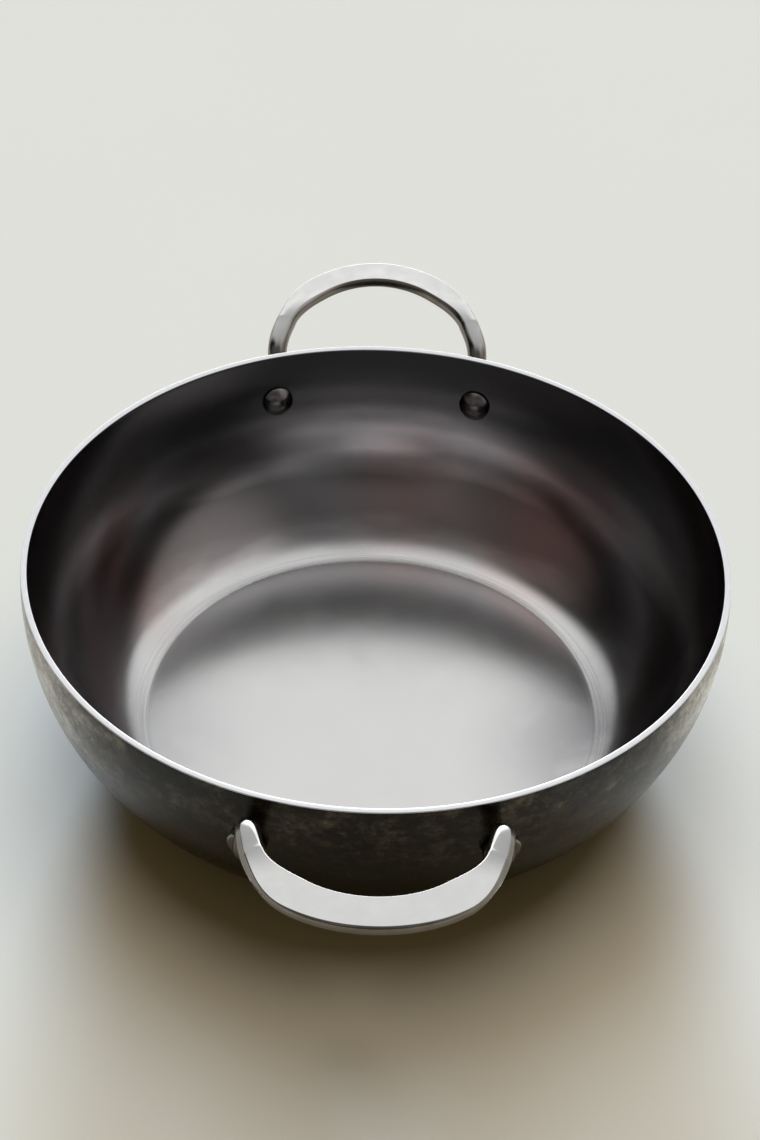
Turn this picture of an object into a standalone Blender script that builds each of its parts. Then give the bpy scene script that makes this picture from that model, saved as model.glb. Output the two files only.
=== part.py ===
"""A deep round steel pan with two riveted loop handles.

The pan stands on its flat floor at z = 0, centred on the Z axis. One handle is at the front (-Y) and
the same casting, turned half a turn, is at the back (+Y). Lengths are in metres.
"""
import math

import bmesh
import bpy
from mathutils import Matrix, Vector

# Pan body: one pressing of plain sheet
RIM_RADIUS = 0.140
PAN_HEIGHT = 0.090
SHEET = 0.0025
FLOOR_RADIUS = 0.0955
CORNER_RADIUS = 0.0148
WALL_START_ANGLE = math.radians(40.6)

# Rivets: a low dome inside the pan and a shank through the wall
RIVET_DROP = 0.0241
RIVET_SPACING = 0.090
RIVET_HEAD_DIAMETER = 0.0137
RIVET_HEAD_HEIGHT = 0.0040
RIVET_HEAD_EDGE = 0.0005
RIVET_SHANK_DIAMETER = 0.0050
RIVET_NOSE = 0.0005
RIVET_BITE = 0.0028

# Handle: round feet and rods, and a wide grip with a flat top
FOOT_DIAMETER = 0.0150
FOOT_THICKNESS = 0.0034
FOOT_EDGE = 0.0009
ROD_DIAMETER = 0.0078
BOW_RADIUS = 0.0448
KNEE_OUT = 0.0100
KNEE_RISE = 0.0165
KNEE_SLOPE = math.radians(58)
BEND_PULL = 0.36
GRIP_REACH = 0.0570
GRIP_RISE = 0.0070
GRIP_WIDTH = 0.0140
GRIP_DEPTH = 0.0051
GRIP_ARCH_RADIUS = 0.170
GRIP_SQUARENESS = 3.0
WAIST_DROP = 0.0009
EDGE_MARGIN = 0.0003
TAPER_START_ANGLE = math.radians(38)
OUTER_FADE_ANGLE = math.radians(45)
INNER_FADE_ANGLE = math.radians(61.5)
FLAT_END_ANGLE = math.radians(70.8)
CREASE = math.radians(30)
CROWN = math.radians(12)
ROUND = 2.0

# Room between pieces that touch, and between a shank and its hole
CLEARANCE = 0.0003

# How far a cutter runs past the faces that it cuts
OVERCUT = 0.0050

# Mesh fineness
TURN_STEPS = 80
WALL_STEPS = 14
CORNER_STEPS = 5
RIVET_STEPS = 24
DOME_STEPS = 6
FOOT_STEPS = 36
EDGE_STEPS = 3
FLAT_POINTS = 5
SHOULDER_POINTS = 3
BELLY_POINTS = 9
LEG_STATIONS = 7
BOW_STATIONS = 15
BOW_CROWDING = 1.4

MERGE = 0.00001


def clear_scene():
    for item in list(bpy.data.objects):
        bpy.data.objects.remove(item, do_unlink=True)


def new_collection(name):
    collection = bpy.data.collections.new(name)
    bpy.context.scene.collection.children.link(collection)
    return collection


def make_material(name, colour, roughness, metallic):
    material = bpy.data.materials.new(name)
    material.use_nodes = True
    shader = material.node_tree.nodes["Principled BSDF"]
    shader.inputs["Base Color"].default_value = (*colour, 1.0)
    shader.inputs["Roughness"].default_value = roughness
    shader.inputs["Metallic"].default_value = metallic
    return material


def add_object(name, mesh, collection, material=None):
    item = bpy.data.objects.new(name, mesh)
    collection.objects.link(item)
    if material:
        mesh.materials.append(material)
    return item


def as_cutter(item):
    item.hide_render = True
    item.display_type = "WIRE"
    return item


def profile_mesh(name, points):
    """A line of (radius, height) points in the XZ plane, ready for a Screw modifier."""
    mesh = bpy.data.meshes.new(name)
    edges = [(i, i + 1) for i in range(len(points) - 1)]
    mesh.from_pydata([(radius, 0.0, height) for radius, height in points], edges, [])
    return mesh


def add_screw(item, steps):
    screw = item.modifiers.new("turn", "SCREW")
    screw.steps = steps
    screw.render_steps = steps
    screw.use_merge_vertices = True
    screw.merge_threshold = MERGE
    screw.use_smooth_shade = True


def add_boolean(item, operation, other):
    boolean = item.modifiers.new(operation.lower() + "_" + other.name, "BOOLEAN")
    boolean.operation = operation
    boolean.solver = "EXACT"
    boolean.object = other


class Wall:
    """The outer line of the pan: flat floor, corner arc, then one long arc that ends at the rim."""

    def __init__(self):
        self.start = self.corner_point(WALL_START_ANGLE)
        run = RIM_RADIUS - self.start[0]
        rise = PAN_HEIGHT - self.start[1]
        half_sweep = math.atan2(rise, run) - WALL_START_ANGLE
        self.radius = math.hypot(run, rise) / (2 * math.sin(half_sweep))
        self.end_angle = WALL_START_ANGLE + 2 * half_sweep
        self.centre = (
            self.start[0] - self.radius * math.sin(WALL_START_ANGLE),
            self.start[1] + self.radius * math.cos(WALL_START_ANGLE),
        )

    def corner_point(self, angle):
        return (
            FLOOR_RADIUS + CORNER_RADIUS * math.sin(angle),
            CORNER_RADIUS * (1 - math.cos(angle)),
        )

    def point(self, angle):
        return (
            self.centre[0] + self.radius * math.sin(angle),
            self.centre[1] - self.radius * math.cos(angle),
        )

    def angle_at(self, height):
        return math.acos((self.centre[1] - height) / self.radius)

    def outer_line(self):
        """From the rim down to the middle of the floor."""
        line = []
        for i in range(WALL_STEPS + 1):
            line.append(self.point(mix(self.end_angle, WALL_START_ANGLE, i / WALL_STEPS)))
        for i in range(1, CORNER_STEPS + 1):
            line.append(self.corner_point(WALL_START_ANGLE * (1 - i / CORNER_STEPS)))
        line.append((0.0, 0.0))
        return line


def mix(low, high, share):
    return low + (high - low) * share


def ramp(value, low, high):
    return min(max((value - low) / (high - low), 0.0), 1.0)


WALL = Wall()
RIVET_HEIGHT = PAN_HEIGHT - RIVET_DROP


def rivet_frame(side):
    """Origin on the outer face of the front wall and +Z along the wall's normal; side is -1 or +1."""
    angle = WALL.angle_at(RIVET_HEIGHT)
    radius = WALL.point(angle)[0]
    across = side * RIVET_SPACING / 2
    outward = Vector((across, -math.sqrt(radius ** 2 - across ** 2), 0.0)).normalized()
    normal = outward * math.sin(angle) + Vector((0.0, 0.0, -math.cos(angle)))
    sideways = Vector((0.0, 0.0, 1.0)).cross(outward).normalized()
    upward = normal.cross(sideways)
    frame = Matrix.Identity(4)
    for column, axis in enumerate((sideways, upward, normal)):
        for row in range(3):
            frame[row][column] = axis[row]
    place = outward * radius
    place.z = RIVET_HEIGHT
    return Matrix.Translation(place) @ frame


def half_turn():
    return Matrix.Rotation(math.pi, 4, "Z")


RIVET_PLACES = {
    "rivet_front_left": rivet_frame(-1),
    "rivet_front_right": rivet_frame(1),
    "rivet_rear_left": half_turn() @ rivet_frame(1),
    "rivet_rear_right": half_turn() @ rivet_frame(-1),
}


def bore_cutter(name, place, low, high, cutters):
    """A round bar along the rivet's axis, a clearance wider than the shank, from low to high."""
    radius = RIVET_SHANK_DIAMETER / 2 + CLEARANCE
    mesh = bpy.data.meshes.new(name)
    bar = bmesh.new()
    bmesh.ops.create_cone(
        bar, cap_ends=True, segments=RIVET_STEPS, radius1=radius, radius2=radius, depth=high - low,
        matrix=Matrix.Translation((0.0, 0.0, (low + high) / 2)),
    )
    bar.to_mesh(mesh)
    bar.free()
    cutter = as_cutter(add_object(name, mesh, cutters))
    cutter.matrix_world = place
    return cutter


def make_body(parts, cutters, steel):
    body = add_object("pan_body", profile_mesh("pan_body", WALL.outer_line()), parts, steel)
    add_screw(body, TURN_STEPS)
    sheet = body.modifiers.new("sheet", "SOLIDIFY")
    sheet.thickness = SHEET
    sheet.offset = -1
    sheet.use_even_offset = True
    for name, place in RIVET_PLACES.items():
        drill = bore_cutter("hole_for_" + name, place, -SHEET - OVERCUT, OVERCUT, cutters)
        add_boolean(body, "DIFFERENCE", drill)


def rivet_line():
    """From the end of the shank, down its side, and over the dome to the middle of the head."""
    head_radius = RIVET_HEAD_DIAMETER / 2
    shank_radius = RIVET_SHANK_DIAMETER / 2
    wall_dish = head_radius ** 2 / (2 * (WALL.radius - SHEET))
    seat = -(SHEET + wall_dish + CLEARANCE)
    end = CLEARANCE + RIVET_BITE
    line = [
        (0.0, end),
        (shank_radius - RIVET_NOSE, end),
        (shank_radius, end - RIVET_NOSE),
        (shank_radius, seat),
        (head_radius, seat),
    ]
    dome_height = RIVET_HEAD_HEIGHT - RIVET_HEAD_EDGE
    ball = (head_radius ** 2 + dome_height ** 2) / (2 * dome_height)
    spread = math.asin(head_radius / ball)
    for i in range(DOME_STEPS + 1):
        angle = spread * (1 - i / DOME_STEPS)
        line.append((ball * math.sin(angle), seat - RIVET_HEAD_HEIGHT + ball * (1 - math.cos(angle))))
    return line


def make_rivets(parts, steel):
    mesh = profile_mesh("rivet", rivet_line())
    mesh.materials.append(steel)
    for name, place in RIVET_PLACES.items():
        rivet = add_object(name, mesh, parts)
        rivet.matrix_world = place
        add_screw(rivet, RIVET_STEPS)


def bend(start, start_way, end, end_way):
    """Points of one Bezier span, without its last, that leaves and arrives in the given directions."""
    reach = (end - start).length * BEND_PULL
    first = start + start_way * reach
    second = end - end_way * reach
    points = []
    for i in range(LEG_STATIONS):
        t = i / LEG_STATIONS
        u = 1 - t
        points.append(start * u ** 3 + first * 3 * u * u * t + second * 3 * u * t * t + end * t ** 3)
    return points


class Section:
    """One cross section of the handle: a flat top between two edges, shoulders down to the waist,
    and a belly under it. A rod's section is the same outline with its numbers set to make a circle.
    """

    def __init__(self, half_width, inner_flat, outer_flat, top, crease, crown, belly, squareness):
        self.half_width = half_width
        self.inner_flat = inner_flat
        self.outer_flat = outer_flat
        self.top = top
        self.crease = crease
        self.crown = crown
        self.belly = belly
        self.squareness = squareness

    def shoulder(self, edge):
        """From just under the flat's edge down to the waist, as (outward, up) pairs."""
        points = []
        for i in range(1, SHOULDER_POINTS + 1):
            angle = mix(self.crease, math.pi / 2, i / SHOULDER_POINTS)
            share = (math.sin(angle) - math.sin(self.crease)) / (1 - math.sin(self.crease))
            points.append((
                mix(edge, self.half_width, share),
                self.top * math.cos(angle) / math.cos(self.crease),
            ))
        return points

    def outline(self):
        """Once round, from the outer edge of the flat to the inner edge, then under and back up."""
        points = []
        for i in range(FLAT_POINTS):
            share = i / (FLAT_POINTS - 1)
            bulge = self.crown * (1 - (2 * share - 1) ** 2)
            points.append((mix(self.outer_flat, -self.inner_flat, share), self.top + bulge))
        points += [(-outward, up) for outward, up in self.shoulder(self.inner_flat)]
        power = 2 / self.squareness
        for i in range(1, BELLY_POINTS + 1):
            angle = math.pi * i / (BELLY_POINTS + 1)
            outward = abs(math.cos(angle)) ** power * self.half_width
            points.append((-math.copysign(outward, math.cos(angle)), -math.sin(angle) ** power * self.belly))
        points += reversed(self.shoulder(self.outer_flat))
        return points


def rod_section():
    rod = ROD_DIAMETER / 2
    flat = rod * math.sin(CROWN)
    top = rod * math.cos(CROWN)
    return Section(rod, flat, flat, top, CROWN, rod - top, rod, ROUND)


def bow_section(turn):
    """The section where the bow has turned by this angle from its apex."""
    rod = ROD_DIAMETER / 2
    least_flat = rod * math.sin(CROWN)
    taper = ramp(turn, TAPER_START_ANGLE, FLAT_END_ANGLE)
    taper = taper * taper * (3 - 2 * taper)
    outer_fade = ramp(turn, OUTER_FADE_ANGLE, FLAT_END_ANGLE) ** 2
    inner_fade = ramp(turn, INNER_FADE_ANGLE, FLAT_END_ANGLE) ** 2
    half_width = mix(GRIP_WIDTH / 2, rod, taper)
    widest_flat = half_width - EDGE_MARGIN
    return Section(
        half_width,
        mix(widest_flat, least_flat, inner_fade),
        mix(widest_flat, least_flat, outer_fade),
        mix(WAIST_DROP, rod * math.cos(CROWN), outer_fade),
        CREASE,
        0.0,
        mix(GRIP_DEPTH - WAIST_DROP, rod, taper),
        mix(GRIP_SQUARENESS, ROUND, taper),
    )


class Bow:
    """The handle's middle line, from the right foot of the front handle to its apex.

    Seen from above the grip is a half circle. Its flat top lies on a large cylinder whose axis runs
    along Y, so the grip falls a little toward its ends.
    """

    def __init__(self):
        self.apex_height = PAN_HEIGHT + GRIP_RISE
        self.centre_y = -(RIM_RADIUS + GRIP_REACH - GRIP_WIDTH / 2 - BOW_RADIUS)
        self.foot = rivet_frame(1)
        self.foot_way = self.foot.to_3x3() @ Vector((0.0, 0.0, 1.0))

    def top_way(self, across):
        """The direction square to the flat top."""
        tilt = math.asin(across / GRIP_ARCH_RADIUS)
        return Vector((math.sin(tilt), 0.0, math.cos(tilt)))

    def bow_point(self, turn):
        """A point of the middle line, under the flat top by the section's own amount."""
        across = BOW_RADIUS * math.sin(turn)
        way = self.top_way(across)
        drop = GRIP_ARCH_RADIUS * (1 - way.z)
        top = Vector((across, self.centre_y - BOW_RADIUS * math.cos(turn), self.apex_height - drop))
        return top - way * bow_section(turn).top

    def leg_points(self):
        """Two Bezier spans: foot to knee, and knee to the end of the flat."""
        start = self.foot @ Vector((0.0, 0.0, CLEARANCE + FOOT_THICKNESS / 2))
        knee = Vector((
            BOW_RADIUS,
            self.foot.translation.y - KNEE_OUT,
            self.foot.translation.z + KNEE_RISE,
        ))
        knee_way = Vector((0.0, -math.cos(KNEE_SLOPE), math.sin(KNEE_SLOPE)))
        end = self.bow_point(FLAT_END_ANGLE)
        end_way = (self.bow_point(FLAT_END_ANGLE - math.radians(1)) - end).normalized()
        return bend(start, self.foot_way, knee, knee_way) + bend(knee, knee_way, end, end_way)

    def stations(self):
        """Every ring of the half handle as (point, section), from the foot to the apex."""
        found = [(point, rod_section()) for point in self.leg_points()]
        for i in range(BOW_STATIONS + 1):
            turn = FLAT_END_ANGLE * (1 - (i / BOW_STATIONS) ** BOW_CROWDING)
            found.append((self.bow_point(turn), bow_section(turn)))
        return found


def handle_rings(loft, bow):
    """Rings of new points from the apex down to the foot, each square to the middle line.

    On the bow a ring stands on the flat top's own direction. Down the leg it keeps the direction of
    the ring before it, so that the rod doesn't twist.
    """
    stations = bow.stations()
    points = [point for point, section in stations]
    last = len(stations) - 1
    rings = []
    outward = Vector((0.0, -1.0, 0.0))
    for i in range(last, -1, -1):
        point, section = stations[i]
        if i == 0:
            along = bow.foot_way
        elif i == last:
            along = Vector((-1.0, 0.0, 0.0))
        else:
            along = (points[i + 1] - points[i - 1]).normalized()
        if i >= last - BOW_STATIONS:
            outward = bow.top_way(point.x).cross(along)
        outward = (outward - along * outward.dot(along)).normalized()
        up = along.cross(outward)
        rings.append([
            loft.verts.new(point + outward * across + up * height)
            for across, height in section.outline()
        ])
    return rings


def loft_mesh(name):
    """Half of the handle, from the foot to the open end at x = 0, which a Mirror closes."""
    loft = bmesh.new()
    rings = handle_rings(loft, Bow())
    for corner in rings[0]:
        corner.co.x = 0.0
    for near, far in zip(rings, rings[1:]):
        for i in range(len(near)):
            loft.faces.new((near[i - 1], near[i], far[i], far[i - 1]))
    loft.faces.new(rings[-1])
    bmesh.ops.recalc_face_normals(loft, faces=loft.faces)
    mesh = bpy.data.meshes.new(name)
    loft.to_mesh(mesh)
    loft.free()
    mesh.shade_smooth()
    mesh.set_sharp_from_angle(angle=CREASE)
    return mesh


def foot_line():
    """The foot is a disc with a rounded edge, from its far face back to the wall."""
    radius = FOOT_DIAMETER / 2
    far = CLEARANCE + FOOT_THICKNESS
    line = [(0.0, far)]
    for i in range(EDGE_STEPS + 1):
        angle = math.pi / 2 * i / EDGE_STEPS
        line.append((
            radius - FOOT_EDGE * (1 - math.sin(angle)),
            far - FOOT_EDGE * (1 - math.cos(angle)),
        ))
    line.append((radius, CLEARANCE))
    line.append((0.0, CLEARANCE))
    return line


def make_handles(parts, cutters, steel):
    front = add_object("front_handle", loft_mesh("handle"), parts, steel)
    mirror = front.modifiers.new("mirror", "MIRROR")
    mirror.merge_threshold = MERGE
    mirror.use_clip = True

    sides = {"left": -1, "right": 1}
    for name, side in sides.items():
        foot = add_object("foot_" + name, profile_mesh("foot", foot_line()), cutters)
        add_screw(foot, FOOT_STEPS)
        foot.matrix_world = rivet_frame(side)
        add_boolean(front, "UNION", as_cutter(foot))
    for name, side in sides.items():
        depth = RIVET_BITE + 2 * CLEARANCE
        bore = bore_cutter("bore_" + name, rivet_frame(side), -OVERCUT, depth, cutters)
        add_boolean(front, "DIFFERENCE", bore)

    bpy.context.view_layer.update()
    finished = front.evaluated_get(bpy.context.evaluated_depsgraph_get())
    rear = add_object("rear_handle", bpy.data.meshes.new_from_object(finished), parts)
    rear.matrix_world = half_turn()


def main():
    clear_scene()
    parts = new_collection("two_handled_pan")
    cutters = new_collection("cutters")
    dark_steel = make_material("dark_pan_steel", (0.055, 0.050, 0.045), 0.38, 1.0)
    bright_steel = make_material("polished_stainless", (0.72, 0.70, 0.67), 0.14, 1.0)
    rivet_steel = make_material("rivet_steel", (0.30, 0.29, 0.28), 0.28, 1.0)
    make_body(parts, cutters, dark_steel)
    make_handles(parts, cutters, bright_steel)
    make_rivets(parts, rivet_steel)


main()
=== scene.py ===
# %% [markdown]
# # A two-handled steel pan
#
# The object is a wide, deep pan pressed from one sheet of carbon steel. Two polished loop handles are
# riveted to it. This lesson takes the plain working model of the pan as a fixed frame and dresses it:
# every piece is made again with fine, smooth surfaces, and gets a steel that behaves like the real one.
#
# The working model already has the right sizes. It is loaded first and never moved. All lengths are in
# metres, +Z is up, and the pan stands on z = 0.

# %% Load the working model
import math

import bmesh
import bpy
from mathutils import Matrix, Vector


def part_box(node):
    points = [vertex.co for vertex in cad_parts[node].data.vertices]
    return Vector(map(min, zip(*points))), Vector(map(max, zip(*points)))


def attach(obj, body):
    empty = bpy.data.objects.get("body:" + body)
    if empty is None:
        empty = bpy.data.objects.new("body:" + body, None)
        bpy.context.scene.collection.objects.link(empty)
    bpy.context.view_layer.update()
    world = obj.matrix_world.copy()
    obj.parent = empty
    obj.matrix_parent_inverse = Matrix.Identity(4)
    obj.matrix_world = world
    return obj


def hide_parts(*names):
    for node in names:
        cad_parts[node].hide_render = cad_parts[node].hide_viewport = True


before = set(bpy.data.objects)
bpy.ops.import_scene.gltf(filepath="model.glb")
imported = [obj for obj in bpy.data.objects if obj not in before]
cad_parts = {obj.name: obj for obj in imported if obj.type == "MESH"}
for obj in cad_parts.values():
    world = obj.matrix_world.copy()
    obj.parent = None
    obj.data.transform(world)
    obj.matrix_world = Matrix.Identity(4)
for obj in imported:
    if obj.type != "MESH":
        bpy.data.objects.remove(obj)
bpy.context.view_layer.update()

print("pieces in the working model:", ", ".join(sorted(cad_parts)))

# %% [markdown]
# ## Where the camera stands
#
# The camera looks down into the pan from the front handle's side, through a long lens and with its head
# tilted a little. The lens is long, because the far rim looks hardly narrower than the near one.
#
# A camera could be placed by its own coordinates, but nobody can picture those. Here it is placed from
# the middle of the rim: turn to the line of sight, then step back along it. A Blender camera looks
# along its own -Z, so a turn about X by 90 degrees less the look-down angle gives the line of sight.

# %% The camera
LENS = 68.44
LOOK_DOWN = math.radians(41.11)
HEAD_TILT = math.radians(2.10)
PAN_TURN = math.radians(1.3)
DISTANCE = 0.8595
RIM_OFF_AXIS = (-0.00067, 0.00762)
RIM_HEIGHT = 0.0901
PAN_SHIFT = -0.0006


def add_camera():
    camera = bpy.data.objects.new("camera", bpy.data.cameras.new("camera"))
    camera.data.lens = LENS
    bpy.context.scene.collection.objects.link(camera)
    camera.matrix_world = (
        Matrix.Rotation(-PAN_TURN, 4, "Z")
        @ Matrix.Translation((-PAN_SHIFT, 0.0, RIM_HEIGHT))
        @ Matrix.Rotation(math.pi / 2 - LOOK_DOWN, 4, "X")
        @ Matrix.Rotation(HEAD_TILT, 4, "Z")
        @ Matrix.Translation((-RIM_OFF_AXIS[0], -RIM_OFF_AXIS[1], DISTANCE))
    )
    bpy.context.scene.camera = camera
    return camera


camera = add_camera()
print("the camera stands at", [round(value, 3) for value in camera.matrix_world.translation])

# %% [markdown]
# ## A short way to write nodes
#
# A material or a world is a tree of nodes, and each wire is one line of code. That gets long. The
# helper below adds a node and fills its inputs in one call: a plain value is set on the socket, and
# the output of an earlier node is wired to it. Everything after this reads like a recipe.
#
# A noise in Blender seldom leaves the middle of its range from 0 to 1. So a finish that goes from one
# colour or roughness to another does it between the two values of NOISE_ENDS.

# %% The node helper
NOISE_ENDS = (0.3, 0.7)


class Recipe:
    """A node tree that is being put together, one ingredient at a time."""

    def __init__(self, owner):
        owner.use_nodes = True
        self.tree = owner.node_tree

    def add(self, kind, inputs=None, **settings):
        """Adds a node; settings are its own options, and inputs are values or earlier outputs."""
        node = self.tree.nodes.new("ShaderNode" + kind)
        for name, value in settings.items():
            setattr(node, name, value)
        self.fill(node, inputs or {})
        return node

    def fill(self, node, inputs):
        for name, value in inputs.items():
            socket = node.inputs[name]
            if isinstance(value, bpy.types.NodeSocket):
                self.tree.links.new(value, socket)
            else:
                socket.default_value = value

    def math(self, operation, first, second=0.0):
        node = self.add("Math", {0: first, 1: second}, operation=operation)
        return node.outputs[0]

    def vector(self, operation, first, second=(0.0, 0.0, 0.0)):
        node = self.add("VectorMath", {0: first, 1: second}, operation=operation)
        return node.outputs["Value" if operation in ("DOT_PRODUCT", "LENGTH", "DISTANCE") else "Vector"]

    def scaled(self, colour, share):
        """A colour or vector, times a number."""
        node = self.add("VectorMath", {"Vector": colour, "Scale": share}, operation="SCALE")
        return node.outputs["Vector"]

    def blend(self, share, first, second):
        """From the first colour to the second as share goes from 0 to 1."""
        node = self.add("MixRGB", {"Fac": share, "Color1": first, "Color2": second})
        return node.outputs["Color"]

    def noise(self, vector, scale, detail=2.0, roughness=0.5):
        inputs = {"Vector": vector, "Scale": scale, "Detail": detail, "Roughness": roughness}
        return self.add("TexNoise", inputs).outputs["Fac"]

    def weighed(self, *parts):
        """Adds up (value, share) pairs, each value times its share."""
        products = [self.math("MULTIPLY", value, share) for value, share in parts]
        total = products[0]
        for product in products[1:]:
            total = self.math("ADD", total, product)
        return total

    def spread(self, value, low, high, to_low=0.0, to_high=1.0):
        """Turns low to high into to_low to to_high, with a soft start and end."""
        inputs = {"Value": value, "From Min": low, "From Max": high, "To Min": to_low, "To Max": to_high}
        return self.add("MapRange", inputs, interpolation_type="SMOOTHSTEP").outputs["Result"]

    def colours(self, value, stops):
        """A colour ramp; each stop is (position, colour)."""
        ramp = self.add("ValToRGB", {"Fac": value})
        elements = ramp.color_ramp.elements
        for element, (place, colour) in zip(elements, stops):
            element.position = place
            element.color = (*colour, 1.0)
        for place, colour in stops[len(elements):]:
            elements.new(place).color = (*colour, 1.0)
        return ramp.outputs["Color"]

    def noisy_colour(self, noise, low, high):
        """From one colour to another as a noise goes through its usual range."""
        return self.colours(noise, list(zip(NOISE_ENDS, (low, high))))


print("recipe steps:", ", ".join(name for name in vars(Recipe) if not name.startswith("_")))

# %% [markdown]
# ## The light
#
# Polished and satin steel have hardly any colour of their own: they show what is round them. So what
# stands round the pan matters as much as the steel. A very large, soft panel of light starts behind the
# pan, goes up and passes overhead, and the rest of the room is dark. The panel shows in the pan's floor
# and on the handles' flat tops, and the dark room shows in the wall.
#
# This could be a big area lamp, but its edges would show in the steel as hard lines. A world whose
# brightness changes smoothly with direction has no edges. The Generated coordinate is the direction.
# Its Y says how far behind or in front something is, and a ramp over Y gives the panel's way over the
# pan, brightest low down behind it. Its X says how far to the side, and the panel fades out there. It
# is wider behind the pan than in front, so a share of Y is taken off before that fade. Two windows, a
# bright one on the right and a dim one on the left, are round patches about a direction each.
#
# The steel mirrors this room, and the matt table is lit by lamps, which come next. The Light Path node
# tells the two apart, so that each can be set without the other: glossy rays see the room, a camera
# that looks past the table sees a pale background, and all other rays get a faint, warm light.

# %% A smooth room for the steel to mirror
PANEL_ALONG = (
    (-1.0, 0.10), (-0.92, 0.14), (-0.83, 0.26), (-0.62, 0.16), (-0.48, 0.18), (-0.36, 0.28), (-0.12, 0.64),
    (0.16, 0.90), (0.45, 0.97), (0.72, 1.06), (0.85, 1.10), (0.93, 3.3), (1.0, 6.2),
)
PANEL_MIDDLE = 0.10
PANEL_WIDTH = (0.36, 0.80)
PANEL_FLARE = 0.50
ROOM_COLOUR = (0.010, 0.008, 0.007)
WINDOWS = (
    ((0.90, -0.15, 0.41), (0.74, 1.0), (0.56, 0.525, 0.515)),
    ((-0.80, -0.47, 0.37), (0.74, 1.0), (0.18, 0.16, 0.155)),
)
SHADE_COLOUR = (0.111, 0.075, 0.027)
BACKGROUND_COLOUR = (0.74, 0.75, 0.73)


def mirrored_room(world):
    direction = world.add("TexCoord").outputs["Generated"]
    sides = world.add("SeparateXYZ", {"Vector": direction}).outputs
    behind = world.math("MULTIPLY", world.math("ADD", sides["Y"], 1.0), 0.5)
    along = world.colours(behind, [((y + 1) / 2, (level,) * 3) for y, level in PANEL_ALONG])
    off = world.math("ABSOLUTE", world.math("SUBTRACT", sides["X"], PANEL_MIDDLE))
    flare = world.math("MULTIPLY", world.math("MAXIMUM", sides["Y"], 0.0), PANEL_FLARE)
    across = world.spread(world.math("SUBTRACT", off, flare), *PANEL_WIDTH, 1.0, 0.0)
    panel = world.scaled(along, across)
    room = world.vector("ADD", panel, ROOM_COLOUR)
    for way, fade, colour in WINDOWS:
        facing = world.vector("DOT_PRODUCT", direction, way)
        room = world.vector("ADD", room, world.scaled(colour, world.spread(facing, *fade)))
    return room


def light_the_room():
    bpy.context.scene.world = bpy.data.worlds.new("soft_room")
    world = Recipe(bpy.context.scene.world)
    ray = world.add("LightPath").outputs
    seen = world.blend(ray["Is Camera Ray"], (*SHADE_COLOUR, 1.0), (*BACKGROUND_COLOUR, 1.0))
    mirrored = world.math("MAXIMUM", ray["Is Glossy Ray"], ray["Is Transmission Ray"])
    both = world.blend(mirrored, seen, mirrored_room(world))
    world.fill(world.tree.nodes["Background"], {"Color": both})


light_the_room()
bpy.context.scene.view_settings.view_transform = "Standard"
print("the panel's light from front to back:", [level for y, level in PANEL_ALONG])

# %% [markdown]
# ## Three lamps for the table
#
# In a studio, lamps that must not show in a shiny thing are shaded from it. A lamp in Blender has a
# switch for the same trick: it is left out of what glossy surfaces mirror.
#
# All lamps stand behind the pan. The low one is cool and draws the long shadow toward the camera. The
# high one is wide, warm and a little to the right, so the shadow under it has no edge. A cool, narrower
# one to the left of it gives the shadow its darker middle. Where the pan hides all three, only the
# faint warm light of the room is left, and that is why the deepest shadow looks brown. A Sun lamp is as
# strong everywhere, and its angle sets how soft its shadow is.

# %% A low lamp and two high ones
LAMPS = {
    "low_lamp": {"height": 6, "side": -2, "softness": 18, "strength": 9.0, "colour": (0.82, 1.0, 1.20)},
    "high_lamp": {"height": 68, "side": 11, "softness": 64, "strength": 1.51, "colour": (1.15, 1.0, 0.80)},
    "cool_lamp": {"height": 57, "side": -8, "softness": 28, "strength": 0.50, "colour": (0.68, 1.0, 1.30)},
}


def add_lamp(name, height, side, softness, strength, colour):
    """A soft sun behind the pan: degrees above the table and to the right, and the size it seems."""
    lamp = bpy.data.objects.new(name, bpy.data.lights.new(name, "SUN"))
    lamp.data.angle = math.radians(softness)
    lamp.data.energy = strength
    lamp.data.color = colour
    lamp.rotation_euler = (math.radians(height - 90), 0.0, math.radians(-side))
    lamp.visible_glossy = False
    bpy.context.scene.collection.objects.link(lamp)
    return lamp


for name, numbers in LAMPS.items():
    add_lamp(name, **numbers)

# %% [markdown]
# ## The table
#
# The pan stands on a plain, pale, matt table with no edge in sight, so it is made far wider than the
# view. The piece is so simple that four points say it best. A weak, wide noise in its colour keeps it
# from looking printed.

# %% The table and its matt paint
TABLE_REACH = 40.0
TABLE_COLOURS = ((0.775, 0.785, 0.765), (0.762, 0.773, 0.752))
TABLE_CLOUD = 3.0
TABLE_ROUGHNESS = 0.85
TABLE_SHINE = 0.2


def mesh_object(name, mesh):
    item = bpy.data.objects.new(name, mesh)
    bpy.context.scene.collection.objects.link(item)
    return item


def start_material(name):
    """An empty material, as a recipe and its Principled shader."""
    material = bpy.data.materials.new(name)
    recipe = Recipe(material)
    return material, recipe, recipe.tree.nodes["Principled BSDF"]


def table_paint():
    material, paint, shader = start_material("matt_table")
    place = paint.add("TexCoord").outputs["Object"]
    cloud = paint.noise(place, TABLE_CLOUD, detail=3.0)
    paint.fill(shader, {
        "Base Color": paint.noisy_colour(cloud, *TABLE_COLOURS),
        "Roughness": TABLE_ROUGHNESS,
        "Specular IOR Level": TABLE_SHINE,
    })
    return material


def add_table():
    corners = [(-1, -1), (1, -1), (1, 1), (-1, 1)]
    mesh = bpy.data.meshes.new("table")
    mesh.from_pydata([(x * TABLE_REACH, y * TABLE_REACH, 0.0) for x, y in corners], [], [(0, 1, 2, 3)])
    mesh.materials.append(table_paint())
    table = mesh_object("table", mesh)
    return table


add_table()
print("the table reaches", TABLE_REACH, "m each way")

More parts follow.
